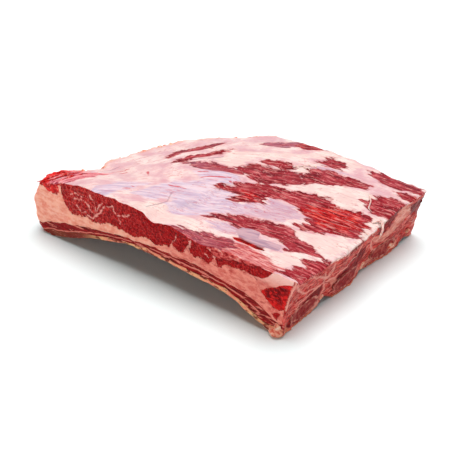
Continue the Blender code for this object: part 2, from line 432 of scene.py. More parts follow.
def sawn_end(place):
    """The colour of the sawn end: webbed brownish meat with darker and fatter zones."""
    grain = place.noise((10, 10, 2.6), 5, 0.62, seed=2)
    ragged_edge = (place.noise(4, 4, 0.6, seed=3) - 0.5) * 9
    crumbs = place.noise(1.1, 2, seed=4)
    meat = mixed((grain + (crumbs - 0.5) * 0.5).rise(0.36, 0.64), (150, 16, 20), (216, 76, 68))
    webs = place.moved((3, 5, 7)).cells((6, 8, 3.6), "DISTANCE_TO_EDGE")
    web = (webs + (grain - 0.5) * 0.3).rise(0.13, 0.03) * place.noise(9).rise(0.42, 0.6)
    meat = meat.towards(web * 0.5, (230, 136, 122))
    streaks = place.noise((16, 16, 1.7), 4, 0.6, seed=13)
    meat = meat.towards(streaks.rise(0.55, 0.63) * 0.75, (226, 142, 128))
    meat = meat.towards(streaks.rise(0.44, 0.37) * 0.7, (104, 4, 12))
    dark = mixed((grain + (crumbs - 0.5) * 0.6).rise(0.4, 0.7), (92, 0, 8), (158, 22, 26))
    meat = meat.towards((Tone.kept("end_dark") + ragged_edge).rise(-1, 1.5) * 0.92, dark)
    fat = mixed(grain.rise(0.4, 0.6), (206, 112, 98), (230, 154, 136))
    meat = meat.towards((Tone.kept("end_fat") + ragged_edge * 0.6).rise(-0.8, 0.8) * 0.9, fat)
    line = Tone.kept("end_line") + ragged_edge * 0.16 + (crumbs - 0.5) * 1.5
    return meat.towards(line.rise(1.6, 0.3) * 0.8, (232, 154, 140))


RIB_SIDES = 64
RIB_RINGS = 14  # from the middle of a sawn end to its rim


def tube_faces(rings, sides):
    """Faces of a closed tube, whose points are a first end, rings with that many sides, and a last end."""
    faces = []
    last = 1 + (rings - 1) * sides
    for i in range(sides):
        j = (i + 1) % sides
        faces.append((0, 1 + j, 1 + i))
        faces.append((last + sides, last + i, last + j))
        for here in range(1, last, sides):
            faces.append((here + i, here + j, here + sides + j, here + sides + i))
    return faces


def rib(place, spare, overrun, stations):
    """Points and faces of a rib as a closed bar, or of its channel with spare room round it."""
    turn = np.linspace(0, 2 * math.pi, RIB_SIDES, endpoint=False)
    # Ribs are flattened ovals, blunter than an ellipse
    across = np.sign(np.cos(turn)) * np.abs(np.cos(turn)) ** 0.9 * (RIB_HALF_WIDTH + spare)
    up = np.sign(np.sin(turn)) * np.abs(np.sin(turn)) ** 0.9 * (RIB_HALF_DEPTH + spare)
    middle_height = RIB_ABOVE_SKIN + RIB_HALF_DEPTH

    def ring(s, size, end=None):
        y = place + across * size
        z = arch(s, place / WIDTH) + middle_height + up * size
        x = np.full(RIB_SIDES, plan_x(s, place / WIDTH))
        if end is not None:
            x = end_places(y, np.maximum(z, 0.1), end) + (2 * end - 1) * overrun
        return np.stack([x, y, z], axis=1)

    sizes = np.linspace(1, 0, RIB_RINGS)[1:-1]
    rings = [ring(0, size, 0) for size in sizes[::-1]] + [ring(0, 1, 0)]
    rings += [ring(s, 1) for s in stations] + [ring(1, 1, 1)] + [ring(1, size, 1) for size in sizes]
    first, last = ring(0, 0, 0)[:1], ring(1, 0, 1)[:1]
    return np.concatenate([first, *rings, last]), tube_faces(len(rings), RIB_SIDES)


def sawn_bone():
    place = Tone.place()
    rim = Tone.kept("from_rim") + (place.noise(6, 3) - 0.5) * 3
    pores = place.cells(1.1)
    marrow = mixed(pores.rise(0.2, 0.7), (112, 16, 22), (158, 44, 44))
    marrow = marrow.towards(place.noise(5, 3).rise(0.46, 0.66) * 0.7, (190, 96, 86))
    shell = mixed(place.noise(4, 3).rise(0.4, 0.6), (160, 62, 58), (216, 142, 126))
    colour = mixed(rim.rise(0.4, 1.6), shell, marrow)
    return colour, pores * 0.2 + 0.35, pores * 0.4


bone_finish = finish("sawn_rib_bone", sawn_bone)
rib_stations = np.linspace(0.05, 0.95, 40)
for number, place in enumerate(RIB_PLACES, start=1):
    points, faces = rib(place, -0.15, 0.5, rib_stations)
    x, y, z = points.T
    high = z - arch(share_along(x, y), place / WIDTH) - RIB_ABOVE_SKIN - RIB_HALF_DEPTH
    size = np.hypot((y - place) / RIB_HALF_WIDTH, high / RIB_HALF_DEPTH)
    from_rim = np.maximum(1 - size, 0) * RIB_HALF_DEPTH
    inner = rise(from_rim, 0.8, 2.5) * (0.35 + 0.35 * soft_noise(points, 2.6, 11))
    at_end = nearness(x - end_places(y, z, 1), 2) - nearness(x - end_places(y, z, 0), 2)
    points = points - np.stack([inner * at_end, 0 * x, 0 * x], axis=1)
    kept = {"from_rim": from_rim}
    piece(f"rib_{number}", points, faces, kept, bone_finish, f"rib_bone_{number}")


# The meat between and over the ribs
# A thin layer of dark lean that wraps the ribs, streaked with pale tissue. On the near cut it shows as
# two or three dark strips, and on the sawn end it goes round the ends of the ribs.

RIB_LAYER = 21.8  # from the arch up to the top of this meat
SAWN_END_RISE = 6.2  # how much higher that is at the sawn end
INNER_SKIN = 2.2
CUT_FADE = 9  # how far in the lines of the near cut go on
FAR_RIB_STRIP = 9
near_rib_top = near_line(
    (0, 10), (6, 13.5), (22, 18.5), (37, 22.5), (49, 25), (70, 28.5), (95, 33), (111, 35), (157, 37.5),
    (179, 38.5), (211, 35), (249, 29), (266, 22), (280, 15), (297, 16),
)
near_inner_top = near_line(
    (0, 4), (6, 5.5), (30, 11), (49, 17.5), (66, 21), (83, 25), (100, 28), (117, 31), (133, 32.3),
    (156, 30.8), (187, 29.3), (217, 27), (249, 17), (265, 9), (280, 9.5), (297, 11),
)


def ragged(s, t, seed):
    """The small unevenness of a boundary between two layers, in millimetres."""
    places = np.stack(np.broadcast_arrays(s * NEAR_LENGTH, t * WIDTH, 0), axis=-1).reshape(-1, 3)
    uneven = 0.75 * soft_noise(places, 8, seed) + 0.45 * soft_noise(places, 3, seed + 1)
    return uneven.reshape(np.broadcast(s, t).shape)


def rib_top(s, t):
    inside = arch(s, t) + RIB_LAYER + SAWN_END_RISE * np.maximum(s, 0) ** 6
    height = blend(inside, near_rib_top(s), nearness(t * WIDTH, CUT_FADE))
    height = blend(height, far_arch(s) + FAR_RIB_STRIP, nearness((1 - t) * WIDTH, CUT_FADE))
    return height + 0.8 * ragged(s, t, 21)


def inner_top(s, t):
    height = blend(bottom(s, t) + INNER_SKIN, near_inner_top(s), nearness(t * WIDTH, CUT_FADE))
    return height + 0.5 * ragged(s, t, 31)


ALONG = 280  # cells of the grid that every layer shares
ACROSS = 205
COARSE = 5  # cells in one face where a layer lies hidden on its neighbour


def place_in(s, t, up, lower, upper):
    """Places in a layer, `up` being the share of the way from its lower height to its upper one."""
    y = t * WIDTH
    share = s
    for _ in range(4):
        z = blend(lower(share, t), upper(share, t), up)
        level = (z - bottom(s, t)) / (top(s, t) - bottom(s, t))
        x = plan_x(s, t) + lean_out(s, level)
        share = share_along(x, y)
    return np.stack([x, y, z], axis=-1)


def cap_faces(corners, cells, fine):
    """Faces over the grid, seen from above: single cells where `fine` is true, coarse ones elsewhere."""
    faces = []
    blocks_along, blocks_across = ALONG // COARSE, ACROSS // COARSE
    grouped = (blocks_along, COARSE, blocks_across, COARSE)
    coarse = (cells & ~fine).reshape(grouped).all(axis=(1, 3))
    single = cells & ~np.repeat(np.repeat(coarse, COARSE, axis=0), COARSE, axis=1)
    for i, j in np.argwhere(single):
        faces.append([corners[i, j], corners[i + 1, j], corners[i + 1, j + 1], corners[i, j + 1]])
    kept_whole = np.pad(coarse, 1, constant_values=False)
    for a, b in np.argwhere(coarse):
        i, j, k = a * COARSE, b * COARSE, COARSE
        around = kept_whole[a : a + 3, b : b + 3]
        sides = (
            (around[1, 0], [(i + n, j) for n in range(k)]),
            (around[2, 1], [(i + k, j + n) for n in range(k)]),
            (around[1, 2], [(i + k - n, j + k) for n in range(k)]),
            (around[0, 1], [(i, j + k - n) for n in range(k)]),
        )
        faces.append([corners[p] for joined, line in sides for p in (line[:1] if joined else line)])
    return faces


def there_all(there):
    """The cells that have depth at all four corners."""
    return there[:-1, :-1] & there[1:, :-1] & there[:-1, 1:] & there[1:, 1:]


def there_any(there):
    return there[:-1, :-1] | there[1:, :-1] | there[:-1, 1:] | there[1:, 1:]


def layer(lower, upper, rows, fine_below, fine_above):
    """Points, faces and distances in from the four sides, of the closed layer between two heights."""
    s, t = np.meshgrid(np.linspace(0, 1, ALONG + 1), np.linspace(0, 1, ACROSS + 1), indexing="ij")
    there = upper(s, t) - lower(s, t) > 0
    cells = there_any(there)
    low = np.arange(s.size).reshape(s.shape)
    high = np.where(there, low + s.size, low)

    # The wall round the layer: a column of points up from each place on the edge of the grid
    along, across = np.arange(ALONG), np.arange(ACROSS)
    edge_s = np.concatenate([along, np.full(ACROSS, ALONG), ALONG - along, 0 * across])
    edge_t = np.concatenate([0 * along, across, np.full(ALONG, ACROSS), ACROSS - across])
    edge = (edge_s, edge_t)
    wall = 2 * s.size + np.arange(len(edge_s) * (rows - 1)).reshape(len(edge_s), rows - 1)
    wall = np.concatenate([low[edge][:, None], wall, high[edge][:, None]], axis=1)
    wall[~there[edge]] = low[edge][~there[edge]][:, None]
    ups = np.linspace(0, 1, rows + 1)[1:-1]

    # The points of the lower side, of the upper one, and of the walls between
    all_s = np.concatenate([s.ravel(), s.ravel(), np.repeat(s[edge], rows - 1)])
    all_t = np.concatenate([t.ravel(), t.ravel(), np.repeat(t[edge], rows - 1)])
    all_up = np.concatenate([np.zeros(s.size), np.ones(s.size), np.tile(ups, len(edge_s))])
    points = place_in(all_s, all_t, all_up, lower, upper)

    faces = [face[::-1] for face in cap_faces(low, cells, fine_below(s, t) | ~there_all(there))]
    faces += cap_faces(high, cells, fine_above(s, t) | ~there_all(there))
    ahead = np.roll(wall, -1, axis=0)
    quads = np.stack([wall[:, :-1], ahead[:, :-1], ahead[:, 1:], wall[:, 1:]], axis=-1).reshape(-1, 4)
    quads = [list(dict.fromkeys(quad)) for quad in quads.tolist()]
    faces += [quad for quad in quads if len(quad) > 2]
    used = np.zeros(len(points), bool)
    used[list(set(itertools.chain.from_iterable(faces)))] = True
    renumbered = np.cumsum(used) - 1
    faces = [[renumbered[v] for v in face] for face in faces]
    sides = np.stack([all_t * WIDTH, (1 - all_s) * NEAR_LENGTH, (1 - all_t) * WIDTH, all_s * NEAR_LENGTH])
    return points[used], faces, sides[:, used]


def nowhere(s, t):
    return np.zeros((ALONG, ACROSS), bool)


def everywhere(s, t):
    return np.ones((ALONG, ACROSS), bool)


def roughened(points, sides, proud, coarse_size, fine_size, seed):
    """The points with the sides' unevenness, the larger part of it common to all the layers."""
    outward = ((0, -1), (1, 0), (0, 1), (-1, 0))
    shared = 0.6 * soft_noise(points, 15, 1) + 0.3 * soft_noise(points, 5.5, 2)
    own = proud + 0.4 * soft_noise(points, coarse_size, seed)
    own = own + 0.22 * soft_noise(points, fine_size, seed + 1)
    torn = 2 * soft_noise(points * (1, 1, 0.4), 8, 3) - 0.5
    sawn = 0.9 * soft_noise(points, 7, 5) + 0.55 * soft_noise(points, 2.6, 4)
    moved = points.copy()
    for distance, (x, y), extra in zip(sides, outward, (own, sawn, own, own + torn)):
        move = nearness(distance, 2.5) * (shared + extra)
        moved[:, 0] += x * move
        moved[:, 1] += y * move
    return moved


def dark_strips():
    place = Tone.place()
    along = place.noise((26, 6, 1.6), 3, 0.6)
    warp = (place.noise(9, 3, seed=3) - 0.5) * 3
    lean = mixed(along.rise(0.35, 0.62), (88, 0, 6), (156, 18, 22))
    lean = lean.towards(place.noise(1.6, 3).rise(0.58, 0.75) * 0.7, (196, 72, 62))
    leftness = Tone.kept("along").rise(70, 25)
    up = Tone.kept("up") + warp * 0.07 + leftness * 0.4
    pale_line = abs(up - 0.45).rise(0.13, 0.03) * place.noise((20, 20, 5), 2, seed=5).rise(0.38, 0.46)
    blotch = place.noise((15, 15, 2.4), 3, 0.6, seed=6).rise(0.56, 0.62)
    colour = lean.towards(pale_line.most(blotch) * 0.9, (226, 124, 108))
    colour = colour.towards(Tone.kept("from_right").rise(3, 1.5), sawn_end(place))
    relief = along * 0.5 + place.noise(1.4, 2) * 0.35
    return colour, place.noise(4) * 0.2 + 0.3, relief


def without_channels(meat, stations):
    """Cuts the ribs' channels out of the meat and keeps the result in its mesh."""
    for place in RIB_PLACES:
        cutter = placed("channel", slab_mesh("channel", *rib(place, 0.1, 6, stations)))
        cut = meat.modifiers.new("channel", "BOOLEAN")
        cut.operation = "DIFFERENCE"
        cut.object = cutter
        cut.solver = "MANIFOLD"
        bpy.context.view_layer.update()
        evaluated = meat.evaluated_get(bpy.context.evaluated_depsgraph_get())
        meat.modifiers.clear()
        meat.data = bpy.data.meshes.new_from_object(evaluated)
        bpy.data.objects.remove(cutter)


def shares(points):
    """How far along and how far across the slab each point is."""
    return share_along(points[:, 0], points[:, 1]), points[:, 1] / WIDTH


rib_meat_finish = finish("rib_meat_lean", dark_strips)
points, faces, sides = layer(inner_top, rib_top, 14, nowhere, nowhere)
s, t = shares(points)
kept = {
    "up": (points[:, 2] - inner_top(s, t)) / np.maximum(rib_top(s, t) - inner_top(s, t), 1),
    "along": points[:, 0].copy(),
} | end_values(points, sides)
points = roughened(points, sides, -0.25, 4, 1.8, 41)
rib_meat = piece("rib_meat_wrap", points, faces, kept, rib_meat_finish, "rib_meat")
without_channels(rib_meat, rib_stations)


# The skin of fat and membrane inside the ribs
# The underside of the slab: a thin shining membrane over creamy fat that follows the ribs, with red meat
# showing through in the furrows. On the near cut it is a pale yellow band along the bottom.

def inside_skin():
    place = Tone.place()
    along = place.noise((18, 5, 5), 3, 0.6)
    cream = mixed(along.rise(0.35, 0.65), (236, 172, 122), (230, 134, 106))
    red = mixed(place.noise((9, 3, 3), 3), (150, 50, 46), (190, 96, 84))
    furrow = Tone.kept("furrow") + (place.noise((14, 4, 4), 3, seed=4) - 0.5) * 0.9
    under = Tone.kept("above_bottom").rise(3.5, 1.5)
    colour = cream.towards(furrow.rise(0.45, 0.7) * under, red)
    near = Tone.kept("from_near").rise(3, 1.5)
    reddish = place.noise((7, 7, 2.4), 3, seed=7).rise(0.5, 0.62)
    leftness = Tone.kept("along").rise(75, 35)
    dashes = place.noise((9, 9, 1.8), 3, 0.6, seed=8).rise(0.6, 0.66)
    dashed = mixed(dashes, (104, 0, 8), (206, 112, 98))
    colour = colour.towards(near * reddish.most(leftness) * 0.9, dashed)
    # Away from the near cut and the sawn end the underside is darkened to grey violet: partly the
    # membrane's own colour, partly painted shade, which also throws less red light onto the table.
    hidden = Tone.kept("from_near").rise(5, 14) * Tone.kept("from_right").rise(5, 14)
    colour = colour.towards(hidden * 0.9, (84, 66, 74))
    colour = colour.towards(Tone.kept("from_right").rise(2.5, 1.5) * 0.6, sawn_end(place))
    return colour, place.noise(5) * 0.2 + 0.28, along * 0.4


inner_finish = finish("inner_fat_skin", inside_skin)
points, faces, sides = layer(bottom, inner_top, 6, everywhere, nowhere)
above_bottom = points[:, 2] - bottom(*shares(points))
kept = {
    "furrow": sum(nearness(points[:, 1] - place, 15) for place, depth in FURROWS),
    "above_bottom": above_bottom,
    "along": points[:, 0].copy(),
} | end_values(points, sides)
wrinkles = 0.35 * soft_noise(points, (24, 5, 9), 51) + 0.25 * soft_noise(points, 4, 52)
raised = np.maximum(wrinkles + 0.3, 0) * nearness(above_bottom, 1.5)
points = roughened(points, sides, 0.1, 5, 2, 53)
points[:, 2] += raised
piece("inner_fat_skin", points, faces, kept, inner_finish, "inner_fat")


# The seam of fat
# A thick band of firm pinkish fat between the two muscles. At the left end it swells to the whole depth of
# the slab and goes up over its edge, and the same fat runs on over the top as the thin cap.

SEAM_LEAST = 3
SEAM_FADE = 35
ABOVE_ALL = 78  # higher than the slab, so that no muscle lies over the fat
near_seam = near_line(
    (0, ABOVE_ALL), (26, ABOVE_ALL), (29, 60), (31, 49), (34, 42), (42, 36), (50, 37), (60, 38.5), (73, 37),
    (84, 40), (91, 42), (100, 41), (117, 40), (134, 43), (145, 41.5), (157, 44), (162, 45), (164, 50),
    (167, 45), (173, 44), (178, 46), (183, 54), (186, 46), (199, 46), (202, 44), (208, 48), (212, 54),
    (216, 46), (220, 47), (224, 51.5), (254, 52), (264, 36), (279, 29), (297, 31),
)
inside_seam = through((0, ABOVE_ALL), (0.08, ABOVE_ALL), (0.14, 45), (0.3, 42), (0.6, 43), (1, 37))
right_seam = through(
    (0, 31), (0.15, 34), (0.28, 33), (0.47, 38), (0.62, 43), (0.72, 48), (0.85, 44), (1, 36),
)


def seam(s, t):
    height = blend(inside_seam(s), right_seam(t), nearness((1 - s) * NEAR_LENGTH, SEAM_FADE))
    height = blend(height, near_seam(s), nearness(t * WIDTH, SEAM_FADE))
    return np.maximum(height + ragged(s, t, 61), rib_top(s, t) + SEAM_LEAST)


def fat_top(s, t):
    return np.minimum(seam(s, t), top(s, t))


# Windows in the cap, in plan: how far a grey film dulls the muscle there, and its outline
WINDOWS = (
    (0.3, ((55, 101), (56, 124), (66, 147), (78, 167), (74, 146), (63, 122), (60, 101))),
    (0.1, ((74, 97), (76, 122), (86, 142), (98, 160), (93, 142), (84, 122), (79, 102))),
    (0.8, ((79, 100), (102, 123), (130, 130), (137, 121), (114, 107), (92, 101))),
    (0, ((138, 155), (146, 162), (161, 166), (172, 163), (160, 157), (146, 153))),
    (0.1, ((121, 132), (129, 143), (147, 151), (167, 156), (178, 157), (185, 153), (185, 147),
                (175, 138), (156, 127), (141, 122))),
    (0.1, ((180, 159), (187, 171), (202, 179), (219, 185), (242, 184), (239, 177), (227, 168),
                (210, 160), (188, 149))),
    (0.1, ((138, 204), (148, 222), (176, 222), (169, 211), (153, 201))),
    (1.6, ((108, 184), (120, 199), (138, 211), (147, 205), (130, 189))),
    (0.1, ((172, 190), (178, 200), (190, 207), (203, 203), (204, 192), (191, 185))),
    (0.2, ((225, 207), (231, 211), (237, 214), (253, 219), (278, 211), (278, 204), (263, 199),
                (245, 200), (229, 204))),
    (0, ((263, 189), (270, 195), (300, 197), (300, 187), (273, 185))),
    (0, ((252, 153), (251, 162), (256, 172), (266, 178), (300, 178), (300, 152), (275, 148), (262, 147))),
    (0, ((137, 89), (141, 107), (158, 123), (172, 130), (187, 137), (211, 143), (236, 139),
                (249, 143), (263, 144), (270, 134), (277, 103), (260, 94), (241, 86), (227, 81),
                (228, 94), (226, 102), (205, 113), (188, 117), (180, 109), (179, 95), (163, 83),
                (153, 78), (154, 91))),
    (0.1, ((154, 45), (168, 59), (185, 72), (205, 75), (213, 76), (224, 78), (234, 72), (257, 64),
                (272, 57), (261, 54), (248, 51), (238, 46), (233, 52), (224, 57), (209, 54),
                (201, 56), (189, 52), (176, 54), (162, 45))),
    (0.6, ((150, -8), (205, -8), (205, 16), (203, 25), (190, 27), (177, 25), (165, 18), (154, 10))),
    (0, ((254, 10), (263, 20), (264, 32), (264, 42), (266, 50), (274, 57), (300, 57), (300, 5),
                (281, 5), (273, 6), (262, 6))),
)
# Where the muscle in them is bright red
BRIGHT_RED = (
    ((196, 110), (207, 128), (227, 141), (242, 143), (260, 145), (270, 135), (272, 110), (266, 98),
     (252, 90), (238, 96), (226, 106)),
    ((138, 91), (146, 105), (165, 103), (172, 99), (160, 91)),
    ((142, 212), (153, 223), (172, 222), (163, 212), (150, 207)),
    ((277, 200), (284, 210), (296, 204), (296, 185), (282, 188)),
)
# Parts of the cap, in plan: clean white fat, grey-violet silverskin, and thin pink fat over marbled meat
WHITE_FAT = (
    ((258, 146), (270, 134), (275, 103), (300, 98), (300, 149), (270, 147)),
    ((171, 132), (185, 147), (212, 158), (231, 166), (258, 171), (255, 163), (256, 151), (250, 143),
     (236, 140), (210, 144), (186, 138)),
    ((229, 75), (242, 85), (261, 92), (275, 99), (278, 86), (277, 69), (273, 58), (257, 65)),
    ((240, 43), (254, 48), (265, 51), (262, 40), (262, 27), (257, 20), (245, 23), (231, 27)),
    ((97, -6), (105, 25), (115, 29), (126, 28), (158, 31), (164, 18), (152, 5), (123, -6)),
    ((96, 126), (99, 154), (125, 168), (155, 190), (180, 215), (224, 213), (209, 197), (174, 197),
     (155, 174), (133, 158), (126, 144), (120, 126)),
    ((168, 163), (174, 168), (186, 169), (191, 165), (182, 161), (177, 154)),
)
SILVERSKIN = (
    ((85, 20), (87, 45), (98, 70), (114, 85), (129, 90), (147, 92), (153, 78), (164, 82), (180, 94),
     (184, 111), (202, 110), (225, 99), (211, 79), (189, 75), (168, 61), (153, 46), (146, 32), (126, 28),
     (115, 13), (114, 31), (115, 48), (102, 28)),
    ((52, 6), (61, 33), (84, 52), (78, 28), (71, -4), (55, -8)),
    ((99, 98), (117, 111), (139, 118), (143, 110), (136, 91), (119, 86), (106, 89)),
    ((174, 160), (186, 179), (207, 190), (221, 188), (203, 180), (184, 168)),
    ((162, 38), (177, 52), (191, 52), (193, 41), (172, 33)),
    ((186, 48), (188, 54), (197, 56), (207, 55), (212, 43), (223, 47), (235, 49), (237, 40), (222, 37),
     (211, 35), (198, 34)),
)
THIN_PINK = (
    ((187, 12), (200, 27), (212, 30), (224, 29), (237, 26), (250, 21), (259, 20), (263, 6), (268, -6),
     (222, -6), (190, -6)),
)
# A loose flap of silverskin, and the red slit along its lower edge
FLAP = (
    (186, 47), (188, 54), (197, 56), (207, 55), (212, 45), (223, 48), (235, 49), (237, 40), (222, 36),
    (211, 36), (198, 36),
)
SLIT = ((190, 35), (198, 36), (211, 36), (224, 36), (228, 33), (221, 31), (208, 31), (196, 31))
# Where the cap was torn off by the near left corner
TORN = ((-20, -9), (-20, 26), (-12, 37), (34, 46), (36, 23), (25, 4), (16, -9))
# On the near cut, in (x, z): the red tissue that hangs below the torn corner, and a low patch of lean
RED_LOBE = ((-10, 62), (-8, 53), (-2, 50), (5, 48), (10, 49), (13, 54), (12, 62))
LOW_RED = ((260, 22), (265, 26), (269, 26), (269, 21), (265, 18))
# Knife marks, and flecks of muscle left in the cap
KNIFE_MARKS = (
    ((13, 43), (19, 47), (24, 55), (30, 66)),
    ((111, 13), (115, 38), (108, 52)),
    ((74, 96), (86, 120), (100, 140)),
)
RED_FLECKS = (
    ((36, 50), (37, 55), (40, 59), (43, 64)),
    ((73, 34), (77, 34)), ((66, 66), (70, 63)), ((44, 52), (46, 58)), ((73, 24), (76, 28)),
    ((113, 89), (123, 98), (134, 106)), ((104, 95), (109, 101)), ((138, 101), (144, 108)),
    ((98, 60), (112, 66)), ((196, 44), (206, 46)), ((88, 142), (99, 153)),
)
# The slope in degrees of the muscle's fibres under the cap, by the distance along: they fan out to the
# left. By the left edge another muscle has its own slope
fibre_slope = through((0, 58), (60, 50), (95, 35), (120, 26), (160, 19), (200, 11), (240, 5), (290, 2))
LEFT_FIBRES = math.radians(72)


def fibre_places(points):
    """The points by distance along and across the fibres, for the main muscle and for the left one."""
    x, y = points[:, 0], points[:, 1]
    steps = np.arange(-30, 320)
    drift = np.cumsum(np.tan(np.radians(fibre_slope(steps))))
    main = np.stack([x, y - np.interp(x, steps, drift), points[:, 2]], axis=1)
    cos, sin = math.cos(LEFT_FIBRES), math.sin(LEFT_FIBRES)
    left = np.stack([x * cos + y * sin, y * cos - x * sin, points[:, 2]], axis=1)
    return main, left


def cover_values(points, under):
    """What the top's finish needs at each point: windows, kinds of fat, and places along the fibres."""
    main, left = fibre_places(points)
    leftness = rise(-points[:, 0], -104, -86) * rise(points[:, 1], 55, 90)
    flat = np.array((1, 1, 0))
    pulls = (soft_noise(line * flat, (26, 3, 9), seed) for line, seed in ((main, 71), (left, 72)))
    pull = blend(*pulls, leftness)
    slope = blend(np.radians(fibre_slope(points[:, 0])), LEFT_FIBRES, leftness)
    sway = 1.6 * soft_noise(points * flat, 10, 73)
    along = np.stack([np.cos(slope), np.sin(slope)], axis=1)
    aside = np.stack([-np.sin(slope), np.cos(slope)], axis=1)
    plan = points[:, :2] + 6 * pull[:, None] * along + sway[:, None] * aside
    inside = np.array([inside_by(plan, outline) for film, outline in WINDOWS])
    ahead, behind = (
        np.max([inside_by(plan + step * along, outline) for film, outline in WINDOWS], axis=0)
        for step in (2, -2)
    )
    nearest = inside.argmax(axis=0)
    flap = inside_by(points[:, :2], FLAP)

    def best(outlines):
        return np.max([inside_by(plan, outline) for outline in outlines], axis=0)

    return {
        "under": under,
        "bare": np.minimum(inside.max(axis=0), -flap),
        "flap": flap,
        "slit": inside_by(points[:, :2] + sway[:, None] * 0.5, SLIT),
        "fibres_end": np.abs(ahead - behind) / 4,
        "bright": best(BRIGHT_RED),
        "film": np.array([window[0] for window in WINDOWS])[nearest],
        "mark": from_lines(points[:, :2] + 0.3 * sway[:, None], KNIFE_MARKS),
        "fleck": from_lines(points[:, :2] + 0.5 * sway[:, None], RED_FLECKS),
        "white": best(WHITE_FAT),
        "silver": best(SILVERSKIN),
        "pink": best(THIN_PINK),
        "torn": inside_by(plan, TORN),
        "leftness": leftness,
        "grain": main,
        "grain_left": left,
    }


def cover_relief(points, values, sides):
    """The top's own relief in millimetres: sunken windows with fibres, lipped fat, and a rounded rim."""
    bare = values["bare"]
    window = rise(bare, -1, 1.8)
    fibres = blend(
        soft_noise(values["grain"], (16, 2.3, 6), 81), soft_noise(values["grain_left"], (16, 2.3, 6), 82),
        values["leftness"],
    )
    folds = soft_noise(values["grain"], (30, 4, 9), 83)
    lumps = 0.4 * soft_noise(points, 15, 84) + 0.12 * soft_noise(points, 5, 85)
    lip = 0.2 * nearness(bare + 2, 1.5)
    torn = rise(values["torn"], -1, 3)
    edge = sides.min(axis=0)
    relief = lumps + (1 - window) * (0.15 * folds + lip) + window * (0.45 * fibres - 0.8)
    relief += 0.9 * rise(values["flap"], -0.6, 0.6) - 1.8 * rise(values["slit"], -0.6, 1)
    relief -= 0.7 * nearness(values["mark"], 0.9)
    relief += 0.9 * soft_noise(points, 6.5, 87) * nearness(edge, 5)
    relief += 1.3 * soft_noise(points, 3, 88) * nearness(np.minimum(sides[1], sides[3]), 2.5)
    relief += torn * 1.1 * soft_noise(values["grain"], (14, 2.6, 6), 86)
    return (relief - 0.8 * nearness(edge, 1.3)) * nearness(values["under"], 3)


def torn_edge(place):
    """Where the torn corner shows, 0 to 1."""
    return (Tone.kept("torn") + (place.noise(5, 3, seed=6) - 0.5) * 10).rise(-1, 1)


def torn_tones(place):
    """The torn corner: bright red along the torn edge, then pink and mauve strands."""
    strands = Tone.kept("grain", 1).noise((16, 2.6, 3), 3, 0.6, seed=7)
    red = mixed(place.noise(2, 2).rise(0.3, 0.6), (168, 4, 12), (232, 40, 36))
    pink = mixed(strands.rise(0.4, 0.52), (158, 46, 66), (222, 130, 136))
    pink = pink.towards(strands.rise(0.56, 0.64) * 0.9, (232, 186, 184))
    inner = (Tone.kept("from_left") + (strands - 0.5) * 30).rise(9, 14)
    streaked = red.towards(strands.rise(0.58, 0.64), pink)
    return mixed(inner * Tone.kept("under").rise(3, 1.5), streaked, pink)


